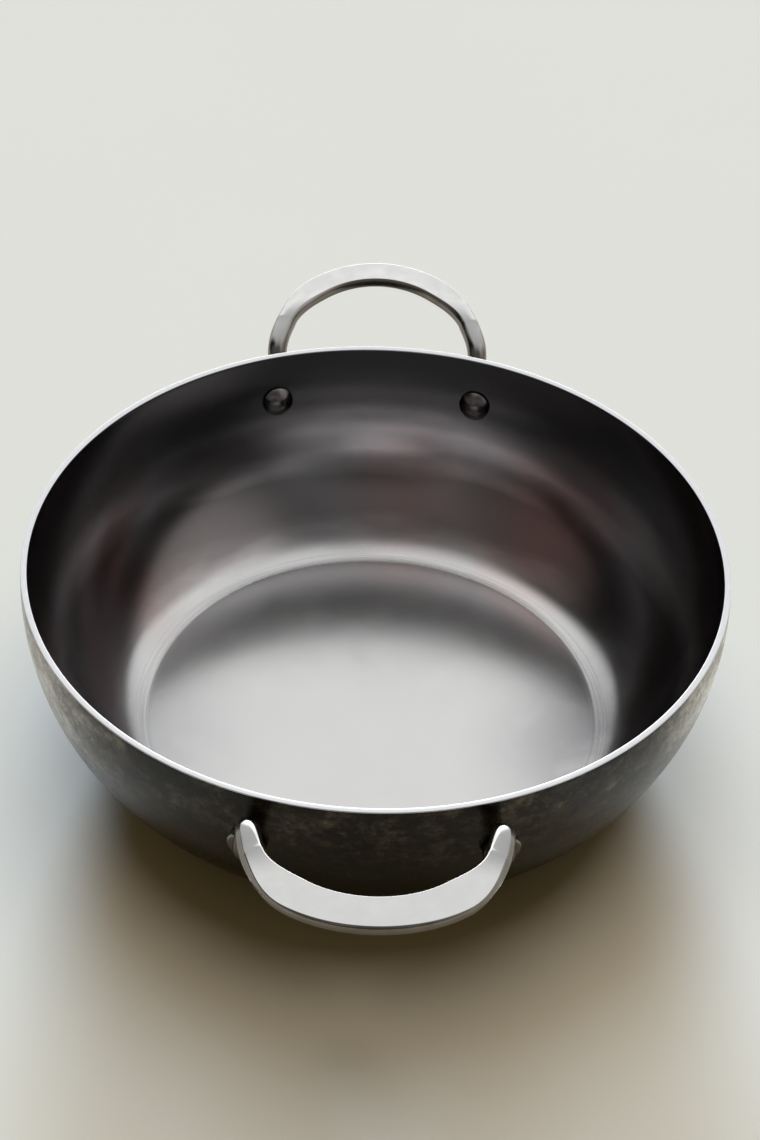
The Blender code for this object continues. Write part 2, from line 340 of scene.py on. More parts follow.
# %% [markdown]
# ## The shape of the pressing
#
# The body is one sheet, pressed so that a flat floor turns through a small arc into one long arc that
# ends at the rim. In section that is three lines: flat, small arc, large arc. Up the wall the sheet is
# as thick all over, so there the inside follows the same centre with a smaller radius.

# %% Sizes of the pressing
RIM_RADIUS = 0.140
PAN_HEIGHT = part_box("pan_body")[1].z
SHEET = 0.0025
FLOOR_RADIUS = 0.0955
CORNER_RADIUS = 0.0148
WALL_START = math.radians(40.6)


def mix(low, high, share):
    return low + (high - low) * share


def arc_point(centre, radius, angle):
    """A point of an arc in the section plane; the angle is 0 straight down and 90 degrees outward."""
    return centre[0] + radius * math.sin(angle), centre[1] - radius * math.cos(angle)


CORNER_CENTRE = (FLOOR_RADIUS, CORNER_RADIUS)
wall_foot = arc_point(CORNER_CENTRE, CORNER_RADIUS, WALL_START)
run, rise = RIM_RADIUS - wall_foot[0], PAN_HEIGHT - wall_foot[1]
half_sweep = math.atan2(rise, run) - WALL_START
WALL_RADIUS = math.hypot(run, rise) / (2 * math.sin(half_sweep))
WALL_END = WALL_START + 2 * half_sweep
WALL_CENTRE = arc_point(wall_foot, -WALL_RADIUS, WALL_START)
print("wall arc radius in mm:", round(1000 * WALL_RADIUS, 2))

# %% [markdown]
# ## The outline of the sheet
#
# The outline runs from the middle of the inner floor up to the rim, over the cut edge with its two
# small rounds, and down the outside to the middle of the underside. Each point keeps the name of the
# surface that starts there. The rounds are real shapes and not a trick of shading, because the edge of
# the real pan is filed after the cut, and that tiny round catches the light as a thin line.
#
# The press tool had a rather sharp edge. So inside the floor ends at a visible crease, and the wide arc
# between it and the wall mirrors the panel of light as a clear ring. The sheet is a little thicker
# there, as pressed corners are.

# %% Points along the sheet
FLOOR_RINGS = 16
CORNER_RINGS = 12
WALL_RINGS = 48
ROUND_RINGS = 4
RIM_ROUND = 0.00035
ROUND_START = WALL_END - RIM_ROUND / WALL_RADIUS
CREASE_RINGS = 4
CREASE_RADIUS = 0.0036
CREASE_TURN = math.radians(9)
CORNER_END = math.radians(43.2)


def wall_points(depth, start=WALL_START):
    """Up the wall from this angle to the start of the rim's round, at this depth in the sheet."""
    angles = [mix(start, ROUND_START, i / WALL_RINGS) for i in range(WALL_RINGS + 1)]
    return [arc_point(WALL_CENTRE, WALL_RADIUS - depth, angle) for angle in angles]


def outer_side():
    points = [(FLOOR_RADIUS * i / FLOOR_RINGS, 0.0) for i in range(FLOOR_RINGS)]
    for i in range(CORNER_RINGS):
        points.append(arc_point(CORNER_CENTRE, CORNER_RADIUS, WALL_START * i / CORNER_RINGS))
    return points + wall_points(0.0)


def inner_side():
    """The floor turns up sharply first, and then in a wider arc that runs smoothly into the wall."""
    wall = wall_points(SHEET, CORNER_END)
    crease_rise = CREASE_RADIUS * (1 - math.cos(CREASE_TURN))
    corner = (wall[0][1] - SHEET - crease_rise) / (math.cos(CREASE_TURN) - math.cos(CORNER_END))
    corner_centre = arc_point(wall[0], -corner, CORNER_END)
    crease_centre = arc_point(corner_centre, corner - CREASE_RADIUS, CREASE_TURN)
    points = [(crease_centre[0] * i / FLOOR_RINGS, SHEET) for i in range(FLOOR_RINGS)]
    for i in range(CREASE_RINGS):
        points.append(arc_point(crease_centre, CREASE_RADIUS, CREASE_TURN * i / CREASE_RINGS))
    for i in range(CORNER_RINGS):
        angle = mix(CREASE_TURN, CORNER_END, i / CORNER_RINGS)
        points.append(arc_point(corner_centre, corner, angle))
    return points + wall


def rim_round(depth, turns):
    """Points of the round whose centre is this deep in the sheet; a turn of 0 faces outward."""
    centre = arc_point(WALL_CENTRE, WALL_RADIUS - depth, ROUND_START)
    return [arc_point(centre, RIM_ROUND, WALL_END + turn) for turn in turns]


def sheet_outline():
    """(radius, height, surface) once along the sheet."""
    step = math.pi / 2 / ROUND_RINGS
    inner_turns = [math.pi - step * i for i in range(1, ROUND_RINGS + 1)]
    outer_turns = [math.pi / 2 - step * i for i in range(ROUND_RINGS)]
    inside = inner_side()
    cut = rim_round(SHEET - RIM_ROUND, inner_turns) + rim_round(RIM_ROUND, outer_turns)
    outside = outer_side()[::-1]
    outline = [(*point, "inside") for point in inside[:-1]]
    outline += [(*point, "rim") for point in inside[-1:] + cut]
    outline += [(*point, "outside") for point in outside]
    return outline


outline = sheet_outline()
print("points along the sheet:", len(outline))
print("highest point in mm:", round(1000 * max(point[1] for point in outline), 2))

# %% [markdown]
# ## Turning the outline
#
# The real sheet is pressed or spun, so every section through its axis is the same. A Screw modifier
# would turn the outline too. Here the rings are made in code, because the same loop can then give each
# face the material of its surface. The middle of the floor is a single point on each side.

# %% The body of the pan
TURN_STEPS = 288
ON_AXIS = 1e-9
SURFACES = ("inside", "rim", "outside")


def turned_mesh(name, outline, steps):
    """Turns (radius, height, surface) points about Z; a point on the axis becomes one vertex."""
    work = bmesh.new()
    rings = []
    for radius, height, surface in outline:
        if radius < ON_AXIS:
            rings.append([work.verts.new((0.0, 0.0, height))] * steps)
            continue
        rings.append([
            work.verts.new((
                radius * math.cos(2 * math.pi * i / steps),
                radius * math.sin(2 * math.pi * i / steps),
                height,
            ))
            for i in range(steps)
        ])
    for ring, following, (_, _, surface) in zip(rings, rings[1:], outline):
        for i in range(steps):
            corners = [ring[i - 1], ring[i], following[i], following[i - 1]]
            face = work.faces.new(list(dict.fromkeys(corners)))
            face.material_index = SURFACES.index(surface) if surface in SURFACES else 0
            face.smooth = True
    bmesh.ops.recalc_face_normals(work, faces=work.faces)
    mesh = bpy.data.meshes.new(name)
    work.to_mesh(mesh)
    work.free()
    return mesh


shell = mesh_object("pan_shell", turned_mesh("pan_shell", outline, TURN_STEPS))
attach(shell, "root")
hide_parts("pan_body")
print("faces in the shell:", len(shell.data.polygons))

# %% [markdown]
# ## Where the rivets go
#
# Each handle is held by two rivets through the wall. A rivet stands square to the wall, so its place is
# a small frame of its own: the origin is on the outer face, and +Z points out of the pan. The same
# frame carries the rivet, the hole and the handle's foot, so the three always line up.

# %% Frames on the wall
RIVET_HEIGHT = PAN_HEIGHT - 0.0241
RIVET_SPACING = 0.090
CLEARANCE = 0.0003


def rivet_frame(side):
    """On the front wall; side is -1 for the left rivet and +1 for the right one."""
    angle = math.acos((WALL_CENTRE[1] - RIVET_HEIGHT) / WALL_RADIUS)
    radius = arc_point(WALL_CENTRE, WALL_RADIUS, angle)[0]
    turn = math.asin(side * RIVET_SPACING / 2 / radius)
    tilt = Matrix.Rotation(math.pi / 2 + (math.pi / 2 - angle), 4, "X")
    out = Matrix.Translation((0.0, -radius, RIVET_HEIGHT))
    return Matrix.Rotation(turn, 4, "Z") @ out @ tilt


HALF_TURN = Matrix.Rotation(math.pi, 4, "Z")
RIVET_PLACES = {
    "front_left": rivet_frame(-1),
    "front_right": rivet_frame(1),
    "rear_left": HALF_TURN @ rivet_frame(1),
    "rear_right": HALF_TURN @ rivet_frame(-1),
}
for name, place in RIVET_PLACES.items():
    low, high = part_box("rivet_" + name)
    print(name, "is off by mm:", round(1000 * ((low + high) / 2 - place.translation).length, 2))

# %% [markdown]
# ## The rivets
#
# Inside the pan a rivet shows as a low, round head; its shank goes through the wall into the foot. A
# UV sphere cut in half would give a head with pinched faces at its pole and no edge. A turned outline
# gives a dome of the right radius, and a small straight edge that is bevelled where it meets the wall.

# %% One turned rivet, four times
HEAD_RADIUS = 0.00685
HEAD_HEIGHT = 0.0040
HEAD_EDGE = 0.0005
SHANK_RADIUS = 0.0025
SHANK_END = 0.0031
SHANK_BEVEL = 0.2
DOME_RINGS = 16
RIVET_STEPS = 96
RIVET_SHARP = math.radians(50)


def rivet_outline():
    dish = HEAD_RADIUS ** 2 / (2 * (WALL_RADIUS - SHEET))
    seat = -(SHEET + dish + CLEARANCE)
    dome = HEAD_HEIGHT - HEAD_EDGE
    ball = (HEAD_RADIUS ** 2 + dome ** 2) / (2 * dome)
    spread = math.asin(HEAD_RADIUS / ball)
    points = [
        (0.0, SHANK_END),
        (SHANK_RADIUS * (1 - SHANK_BEVEL), SHANK_END),
        (SHANK_RADIUS, SHANK_END - SHANK_RADIUS * SHANK_BEVEL),
        (SHANK_RADIUS, seat),
        (HEAD_RADIUS - HEAD_EDGE / 2, seat),
        (HEAD_RADIUS, seat - HEAD_EDGE / 2),
    ]
    for i in range(DOME_RINGS + 1):
        angle = spread * (1 - i / DOME_RINGS)
        points.append((ball * math.sin(angle), seat - HEAD_HEIGHT + ball * (1 - math.cos(angle))))
    return [(*point, "rivet") for point in points]


def add_rivets():
    mesh = turned_mesh("rivet", rivet_outline(), RIVET_STEPS)
    mesh.set_sharp_from_angle(angle=RIVET_SHARP)
    rivets = []
    for name, place in RIVET_PLACES.items():
        rivet = mesh_object("rivet_head_" + name, mesh)
        rivet.matrix_world = place
        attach(rivet, "root")
        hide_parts("rivet_" + name)
        rivets.append(rivet)
    return rivets


rivets = add_rivets()
print("rivets:", len(rivets), "with", len(rivets[0].data.polygons), "faces each")

# %% [markdown]
# ## The handle's cross sections
#
# Each handle is one casting. Its grip has a flat, polished top between two crisp edges, and a rounded
# underside. Toward its ends the grip narrows, the flat top fades away, and the bar turns into a round
# rod. So the handle is a loft: one outline after another along a curved line, with a skin over them.
#
# A curve with a bevel would give a round rod all along, and could not change its section. The class
# below holds the few numbers of one section, and draws it once round.

# %% One section of the handle
GRIP_WIDTH = 0.0140
GRIP_DEPTH = 0.0051
GRIP_SQUARENESS = 5.0
ROD_SQUARENESS = 2.0
ROD_RADIUS = 0.0042
WAIST_DROP = 0.0013
EDGE_MARGIN = 0.0008
EDGE_ROUND = 0.00012
CREASE = math.radians(50)
CROWN = math.radians(12)
FLAT_POINTS = 11
SHOULDER_POINTS = 8
BELLY_POINTS = 35


class Section:
    """A flat top between two edges, shoulders down to the waist, and a belly under it.

    A belly with a squareness of 2 is round, and a higher one is more like a box.
    """

    def __init__(self, half_width, inner_flat, outer_flat, top, crease, crown, belly, squareness):
        self.half_width = half_width
        self.inner_flat = inner_flat
        self.outer_flat = outer_flat
        self.top = top
        self.crease = crease
        self.crown = crown
        self.belly = belly
        self.squareness = squareness

    def flat(self):
        """Across the top, with one point close to each edge so that the flat stays flat."""
        reach = self.outer_flat + self.inner_flat
        shares = [EDGE_ROUND / reach] + [i / (FLAT_POINTS - 1) for i in range(1, FLAT_POINTS - 1)]
        shares.append(1 - EDGE_ROUND / reach)
        places = []
        for share in shares:
            lift = self.crown * (1 - (2 * share - 1) ** 2)
            places.append((mix(self.outer_flat, -self.inner_flat, share), self.top + lift))
        return places

    def shoulder(self, edge):
        """From the edge of the flat down to the waist, as (outward, up) pairs on one conic arc."""
        corner = self.top - (self.half_width - edge) * math.tan(self.crease)
        weight = math.cos((math.pi / 2 - self.crease) / 2)
        points = []
        for i in range(SHOULDER_POINTS + 1):
            t = i / SHOULDER_POINTS
            start, middle, end = (1 - t) ** 2, 2 * t * (1 - t) * weight, t * t
            outward = (start * edge + (middle + end) * self.half_width) / (start + middle + end)
            points.append((outward, (start * self.top + middle * corner) / (start + middle + end)))
        return points

    def outline(self):
        """Once round, from the outer edge of the flat to the inner edge, then under and back up."""
        points = self.flat()
        points += [(-outward, up) for outward, up in self.shoulder(self.inner_flat)]
        power = 2 / self.squareness
        for i in range(1, BELLY_POINTS + 1):
            angle = math.pi * i / (BELLY_POINTS + 1)
            outward = abs(math.cos(angle)) ** power * self.half_width
            points.append((-math.copysign(outward, math.cos(angle)), -math.sin(angle) ** power * self.belly))
        points += self.shoulder(self.outer_flat)[::-1]
        return points


def rod_section(radius=ROD_RADIUS):
    flat = radius * math.sin(CROWN)
    top = radius * math.cos(CROWN)
    return Section(radius, flat, flat, top, CROWN, radius - top, radius, ROD_SQUARENESS)


print("points round the handle:", len(rod_section().outline()))

# %% [markdown]
# ## The handle's line
#
# Seen from above the grip is an arc, a little less than half a circle. Its flat top lies on a large
# cylinder, so the grip falls a little toward its ends. From there a leg bends down and back to the foot
# on the wall, as two Bezier spans that leave and arrive in given directions. Only half of the handle is
# worked out, because the other half is its mirror image.

# %% From the apex of the grip down to the foot
BOW_RADIUS = 0.0448
GRIP_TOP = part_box("front_handle")[1].z
GRIP_FRONT = -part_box("front_handle")[0].y
BOW_CENTRE_Y = -(GRIP_FRONT - GRIP_WIDTH / 2 - BOW_RADIUS)
ARCH_RADIUS = 0.170
BOW_END = math.radians(70.8)
TAPER = (math.radians(38), BOW_END)
THICKEN = (math.radians(45), BOW_END)
NEXT_TO = math.radians(1)
ARM_HALF_WIDTH = 0.0048
ARM_FLAT = (0.0034, 0.0024)
ARM_TOP = 0.0031
ARM_CREASE = math.radians(38)
ARM_CROWN = 0.0004
ARM_SQUARENESS = 2.2
KNEE_OUT = 0.0100
KNEE_RISE = 0.0165
KNEE_SLOPE = math.radians(58)
BEND_PULL = 0.36
FOOT_THICKNESS = 0.0034


def ramp(value, ends):
    return min(max((value - ends[0]) / (ends[1] - ends[0]), 0.0), 1.0)


def eased(share):
    """The same share, with a soft start and end."""
    return share * share * (3 - 2 * share)


def between(first, second, share):
    """The section that lies between two others."""
    pairs = zip(vars(first).values(), vars(second).values())
    return Section(*[mix(low, high, share) for low, high in pairs])


ARM = Section(ARM_HALF_WIDTH, *ARM_FLAT, ARM_TOP, ARM_CREASE, ARM_CROWN, ROD_RADIUS, ARM_SQUARENESS)


def bow_section(turn):
    """The section where the grip has turned by this angle from its apex."""
    thick = ramp(turn, THICKEN) ** 2
    edge = GRIP_WIDTH / 2 - EDGE_MARGIN
    belly = GRIP_DEPTH - WAIST_DROP
    grip = Section(GRIP_WIDTH / 2, edge, edge, WAIST_DROP, CREASE, 0.0, belly, GRIP_SQUARENESS)
    section = between(grip, ARM, eased(ramp(turn, TAPER)))
    section.top = mix(WAIST_DROP, ARM_TOP, thick)
    section.crown = mix(0.0, ARM_CROWN, thick)
    section.crease = mix(CREASE, ARM_CREASE, thick)
    return section


def leg_section(share):
    """Down the leg, from the bow's end to the knee, the arm turns into a round rod."""
    return between(ARM, rod_section(), eased(share))


def top_way(across):
    """The direction square to the flat top, this far to the side of the middle."""
    tilt = math.asin(across / ARCH_RADIUS)
    return Vector((math.sin(tilt), 0.0, math.cos(tilt)))


def bow_point(turn):
    across = BOW_RADIUS * math.sin(turn)
    way = top_way(across)
    drop = ARCH_RADIUS * (1 - way.z)
    top = Vector((across, BOW_CENTRE_Y - BOW_RADIUS * math.cos(turn), GRIP_TOP - drop))
    return top - way * bow_section(turn).top


def bend(start, start_way, end, end_way, t):
    """One point of a Bezier span."""
    reach = (end - start).length * BEND_PULL
    first = start + start_way * reach
    second = end - end_way * reach
    u = 1 - t
    return start * u ** 3 + first * 3 * u * u * t + second * 3 * u * t * t + end * t ** 3


print("apex of the grip in mm:", [round(1000 * value, 1) for value in bow_point(0.0)])

# %% [markdown]
# ## The foot
#
# The leg ends in a round foot that sits flat against the wall, with a blind hole for the rivet's
# shank. All its rings are circles about the rivet's axis, so it can be the last part of the same loft:
# the rod flares through a small fillet into the disc, turns over the disc's rounded edge, comes back
# along the wall side, and goes up into the hole. The whole handle is then a single skin, like a
# casting, with no seam where the rod meets the foot.

# %% Rings of the foot
FOOT_RADIUS = 0.0072
FOOT_EDGE = 0.0009
FILLET = 0.0008
FILLET_RINGS = 6
EDGE_RINGS = 6
BORE_RADIUS = SHANK_RADIUS + CLEARANCE
BORE_DEPTH = SHANK_END + CLEARANCE


def foot_rings():
    """(height above the wall, radius), from the end of the leg to the bottom of the blind hole."""
    top = CLEARANCE + FOOT_THICKNESS
    rings = []
    for i in range(FILLET_RINGS + 1):
        angle = math.pi / 2 * i / FILLET_RINGS
        rings.append((top + FILLET * (1 - math.sin(angle)), ROD_RADIUS + FILLET * (1 - math.cos(angle))))
    for i in range(EDGE_RINGS + 1):
        angle = math.pi / 2 * i / EDGE_RINGS
        fallen = FOOT_EDGE * (1 - math.cos(angle))
        drawn_in = FOOT_EDGE * (1 - math.sin(angle))
        rings.append((top - fallen, FOOT_RADIUS - drawn_in))
    return rings + [
        (CLEARANCE + EDGE_MARGIN, FOOT_RADIUS),
        (CLEARANCE, FOOT_RADIUS - EDGE_MARGIN),
        (CLEARANCE, BORE_RADIUS + EDGE_MARGIN),
        (CLEARANCE, BORE_RADIUS),
        (CLEARANCE + EDGE_MARGIN, BORE_RADIUS),
        (BORE_DEPTH, BORE_RADIUS),
    ]


print("rings in the foot:", len(foot_rings()))

# %% [markdown]
# ## The loft
#
# The rings are set square to the line. On the grip, each ring stands on the flat top's own direction.
# Down the leg it keeps the direction of the ring before it, so that the rod does not twist. The ring
# at the apex is left open, and a Mirror modifier adds the other half.

# %% Both handles
BOW_STATIONS = 72
LEG_STATIONS = 26
HANDLE_SHARP = math.radians(60)
SEAM_REACH = 0.00001


def handle_stations():
    """Rings from the apex to the end of the leg, as (point, section)."""
    foot = rivet_frame(1)
    foot_way = foot.to_3x3() @ Vector((0.0, 0.0, 1.0))
    stations = []
    for i in range(BOW_STATIONS + 1):
        turn = BOW_END * i / BOW_STATIONS
        stations.append((bow_point(turn), bow_section(turn)))
    start = foot @ Vector((0.0, 0.0, CLEARANCE + FOOT_THICKNESS / 2))
    knee = Vector((BOW_RADIUS, foot.translation.y - KNEE_OUT, foot.translation.z + KNEE_RISE))
    knee_way = Vector((0.0, -math.cos(KNEE_SLOPE), math.sin(KNEE_SLOPE)))
    end = stations[-1][0]
    end_way = (bow_point(BOW_END - NEXT_TO) - end).normalized()
    for i in range(1, LEG_STATIONS):
        share = i / LEG_STATIONS
        stations.append((bend(knee, knee_way, end, end_way, 1 - share), leg_section(share)))
    to_foot = foot.inverted()
    clear = CLEARANCE + FOOT_THICKNESS + FILLET
    for i in range(LEG_STATIONS):
        point = bend(start, foot_way, knee, knee_way, 1 - i / LEG_STATIONS)
        if (to_foot @ point).z > clear:
            stations.append((point, rod_section()))
    return stations


def handle_rings():
    """Every ring of one half as a list of points."""
    stations = handle_stations()
    points = [point for point, section in stations]
    rings = []
    outward = Vector((0.0, -1.0, 0.0))
    for i, (point, section) in enumerate(stations):
        before = points[i - 1] if i else bow_point(-NEXT_TO)
        after = points[i + 1] if i + 1 < len(points) else point + (point - before)
        along = (before - after).normalized()
        if i <= BOW_STATIONS:
            outward = top_way(point.x).cross(along)
        outward = (outward - along * outward.dot(along)).normalized()
        up = along.cross(outward)
        rings.append([point + outward * side + up * height for side, height in section.outline()])
    foot = rivet_frame(1)
    along = foot.to_3x3() @ Vector((0.0, 0.0, 1.0))
    outward = (outward - along * outward.dot(along)).normalized()
    up = along.cross(outward)
    for height, radius in foot_rings():
        middle = foot @ Vector((0.0, 0.0, height))
        rings.append([middle + outward * side + up * rise for side, rise in rod_section(radius).outline()])
    return rings


def handle_mesh():
    work = bmesh.new()
    rings = [[work.verts.new(point) for point in ring] for ring in handle_rings()]
    for corner in rings[0]:
        corner.co.x = 0.0
    for near, far in zip(rings, rings[1:]):
        for i in range(len(near)):
            work.faces.new((near[i - 1], near[i], far[i], far[i - 1])).smooth = True
    work.faces.new(rings[-1])
    bmesh.ops.recalc_face_normals(work, faces=work.faces)
    mesh = bpy.data.meshes.new("handle")
    work.to_mesh(mesh)
    work.free()
    mesh.set_sharp_from_angle(angle=HANDLE_SHARP)
    return mesh


def add_handles():
    mesh = handle_mesh()
    handles = []
    for name, place in (("front", Matrix.Identity(4)), ("rear", HALF_TURN)):
        handle = mesh_object(name + "_loop", mesh)
        mirror = handle.modifiers.new("other_half", "MIRROR")
        mirror.merge_threshold = SEAM_REACH
        handle.matrix_world = place
        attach(handle, "root")
        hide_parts(name + "_handle")
        handles.append(handle)
    return handles


handles = add_handles()
print("faces in half a handle:", len(handles[0].data.polygons))

# %% [markdown]
# ## The holes in the wall
#
# Each rivet's shank passes through a drilled hole. The hole is hidden by the head and the foot, but
# without it the shank would run through solid steel. A Boolean modifier takes a thin bar out of the
# shell at each rivet's frame. The result then becomes the shell's own mesh, and the bars are deleted.

# %% Drilling
DRILL_PAST = 0.004
DRILL_STEPS = 32


def drill_holes():
    outline = [
        (0.0, DRILL_PAST, "rivet"),
        (BORE_RADIUS, DRILL_PAST, "rivet"),
        (BORE_RADIUS, -SHEET - DRILL_PAST, "rivet"),
        (0.0, -SHEET - DRILL_PAST, "rivet"),
    ]
    mesh = turned_mesh("drill", outline, DRILL_STEPS)
    before = len(shell.data.polygons)
    for name, place in RIVET_PLACES.items():
        drill = mesh_object("drill_" + name, mesh)
        drill.matrix_world = place
        hole = shell.modifiers.new("hole_" + name, "BOOLEAN")
        hole.object = drill
        hole.solver = "EXACT"
    drilled = bpy.data.meshes.new_from_object(shell.evaluated_get(bpy.context.evaluated_depsgraph_get()))
    shell.modifiers.clear()
    shell.data = drilled
    for name in RIVET_PLACES:
        bpy.data.objects.remove(bpy.data.objects["drill_" + name])
    return len(drilled.polygons) - before


print("faces added by the holes:", drill_holes())

# %% [markdown]
# ## A coordinate that goes round the pan
#
# The steel was spun and rubbed round and round, so its marks are long round the pan and fine across.
# The finish therefore needs its own coordinate: two numbers for the direction from the axis, and one
# for the way along the section. Noise is then stretched by giving the two a small scale and the third
# a large one. All directions meet at the axis, and marks would run together there like a star, so the
# first two fade away near it.

# %% The spun coordinate
CALM_RADIUS = 0.030


def spun_coordinate(steel, round_scale, along_scale):
    """A vector whose X and Y turn with the direction from the axis, and whose Z runs up the section."""
    place = steel.add("TexCoord").outputs["Object"]
    flat = steel.vector("MULTIPLY", place, (1.0, 1.0, 0.0))
    heading = steel.vector("NORMALIZE", flat)
    radius = steel.vector("LENGTH", flat)
    height = steel.vector("DOT_PRODUCT", place, (0.0, 0.0, 1.0))
    along = steel.math("MULTIPLY", steel.math("ADD", radius, height), along_scale)
    turned = steel.scaled(heading, steel.spread(radius, 0.0, CALM_RADIUS, 0.0, round_scale))
    lifted = steel.add("CombineXYZ", {"Z": along}).outputs["Vector"]
    return steel.vector("ADD", turned, lifted)


print("marks calm down within", CALM_RADIUS, "m of the axis")

# %% [markdown]
# ## Satin steel inside
#
# The inside is bare carbon steel with a satin rub. The floor is rubbed bright. The wall has been heated and
# wiped with oil, and it is darker the higher it goes; that darkness is partly the oiled steel and partly
# painted shade. A paler band half way up is a painted highlight that brightens what the wall mirrors there.
# So the colour depends on the height above the table, as a ramp. Heat has also left rose and rust tints low
# on the wall.
#
# A change that comes slowly is four numbers here: from and to, in the value that it depends on, and
# the result at each of the two. The recipe's spread takes them in that order.
#
# The tints could be a picture wrapped round the pan. Here they are a few soft patches at places on the wall,
# broken up by noise, because heat colours come in patches and not as an even pattern. The last four patches
# are grey, and they are painted shade: they darken the mirrored ring at the left and right of the floor's
# edge, and the side walls above it.

# %% The colour inside
INSIDE_TOP = 0.1
# colours up the wall: the fall with height is partly the oiled steel and partly painted shade
INSIDE_COLOURS = (
    (0.0060, (0.640, 0.637, 0.633)),
    (0.0100, (0.500, 0.488, 0.488)),
    (0.0140, (0.340, 0.325, 0.327)),
    (0.0180, (0.270, 0.256, 0.258)),
    (0.0320, (0.235, 0.228, 0.230)),
    # painted highlight: this paler band brightens what the rear wall mirrors
    (0.0430, (0.630, 0.612, 0.628)),
    (0.0560, (0.255, 0.250, 0.254)),
    (0.0700, (0.150, 0.147, 0.149)),
    (0.0800, (0.105, 0.103, 0.105)),
    (0.0880, (0.105, 0.104, 0.106)),
)
TINT_AND_SHADE_PATCHES = (
    ((-0.104, 0.052, 0.022), 0.036, (0.70, 0.55, 0.54)),
    ((0.016, 0.118, 0.026), 0.040, (1.22, 0.92, 0.88)),
    ((0.080, 0.092, 0.028), 0.050, (1.28, 0.88, 0.82)),
    # the four grey patches below are painted shade on the mirrored ring and the side walls
    ((-0.100, -0.025, 0.004), 0.065, (0.72, 0.73, 0.75)),
    ((0.102, -0.025, 0.004), 0.075, (0.60, 0.61, 0.63)),
    ((0.126, -0.010, 0.045), 0.090, (0.25, 0.25, 0.26)),
    ((-0.128, -0.005, 0.052), 0.066, (0.27, 0.28, 0.29)),
)
NOISE_MIDDLE = (0.25, 0.75)
WAVE = 0.004
CLOUD_FROM = (0.004, 0.016)
CLOUD_SWING = (0.012, 0.04)
PATCH_BREAK = (0.25, 0.60, 0.55, 1.0)


def inside_colour(steel, place, height, broad, cloud):
    """A ramp over the height, made wavy and a little cloudy, with the patches over it."""
    wavy = steel.math("ADD", height, steel.spread(broad, *NOISE_MIDDLE, -WAVE, WAVE))
    stops = [(level / INSIDE_TOP, colour) for level, colour in INSIDE_COLOURS]
    colour = steel.colours(steel.math("MULTIPLY", wavy, 1 / INSIDE_TOP), stops)
    swing = steel.spread(height, *CLOUD_FROM, *CLOUD_SWING)
    clouded = steel.math("MULTIPLY", steel.spread(cloud, *NOISE_MIDDLE, -1.0, 1.0), swing)
    colour = steel.scaled(colour, steel.math("ADD", clouded, 1.0))
    for centre, reach, tint in TINT_AND_SHADE_PATCHES:
        share = steel.spread(steel.vector("DISTANCE", place, centre), 0.0, reach, 1.0, 0.0)
        share = steel.math("MULTIPLY", share, steel.spread(cloud, *PATCH_BREAK))
        colour = steel.vector("MULTIPLY", colour, steel.blend(share, (1.0, 1.0, 1.0, 1.0), (*tint, 1.0)))
    return colour


print("the colour inside has", len(INSIDE_COLOURS), "heights and", len(TINT_AND_SHADE_PATCHES), "patches")

# %% [markdown]
# ## How smooth the inside is
#
# Roughness says how blurred the mirrored room is. It could be one number, but then the steel would look
# like plastic. Here the rub marks make it waver a little. The wall is smoother than the floor, and the
# bend just above the floor is rougher.
#
# A fine ripple runs round the floor's edge, where the tool stopped. It is made as a ring: how far a
# point is from the ripple's radius decides how much of the ripple it gets.

# %% The roughness and the ripple inside
FINE_SHARE = 0.4
SATIN_ROUGHNESS = (0.4, 1.0, 0.18, 0.22)
WALL_FROM = (0.014, 0.030)
WALL_SMOOTHER = 0.03
BEND_FROM = (0.002, 0.004)
BEND_UP_TO = (0.006, 0.013)
BEND_ROUGHER = 0.045
EDGE_ROUGHER = 0.06
RIPPLE_RADIUS = 0.0965
RIPPLE_FADE = (0.001, 0.005)


def near_floor_edge(steel, place):
    """1 in a narrow ring round the floor's edge, and 0 away from it."""
    flat = steel.vector("MULTIPLY", place, (1.0, 1.0, 0.0))
    off_edge = steel.math("SUBTRACT", steel.vector("LENGTH", flat), RIPPLE_RADIUS)
    return steel.spread(steel.math("ABSOLUTE", off_edge), *RIPPLE_FADE, 1.0, 0.0)


def inside_roughness(steel, height, broad, fine, at_edge):
    """From the marks, then less up the wall, and more on the bend and at the floor's edge."""
    marks = steel.math("ADD", broad, steel.math("MULTIPLY", fine, FINE_SHARE))
    rough = steel.spread(marks, *SATIN_ROUGHNESS)
    rough = steel.math("SUBTRACT", rough, steel.spread(height, *WALL_FROM, 0.0, WALL_SMOOTHER))
    below_wall = steel.spread(height, *BEND_UP_TO, BEND_ROUGHER, 0.0)
    bend = steel.math("MULTIPLY", steel.spread(height, *BEND_FROM), below_wall)
    rough = steel.math("ADD", rough, bend)
    return steel.math("ADD", rough, steel.math("MULTIPLY", at_edge, EDGE_ROUGHER))


print("the ripple stands", RIPPLE_RADIUS, "m from the axis")

# %% [markdown]
# ## Putting a steel together
#
# Every steel here ends in the same way: a colour and a roughness go into the shader, and the marks go
# in as a bump, which tilts the surface without moving it. A bump has a strength, and a depth in metres.
# That end is a helper. The inside is the first steel that uses it.

# %% The inside
BROAD_MARKS = (1.6, 30.0)
FINE_MARKS = (14.0, 1100.0)
RIPPLE_MARKS = (2.0, 1300.0)
RIPPLE_SWING = (0.35, 0.65, -0.09, 0.12)
CLOUD_SCALE = 38.0
GRAIN_SCALE = 2600.0
SATIN_BUMP = (0.16, 0.00004)


def fill_steel(steel, shader, colour, rough, marks, strength, depth, metallic=1.0):
    """The end of every steel: its colour, its roughness, and its marks as a bump."""
    bump = steel.add("Bump", {"Height": marks, "Strength": strength, "Distance": depth})
    steel.fill(shader, {
        "Base Color": colour,
        "Metallic": metallic,
        "Roughness": rough,
        "Normal": bump.outputs["Normal"],
    })


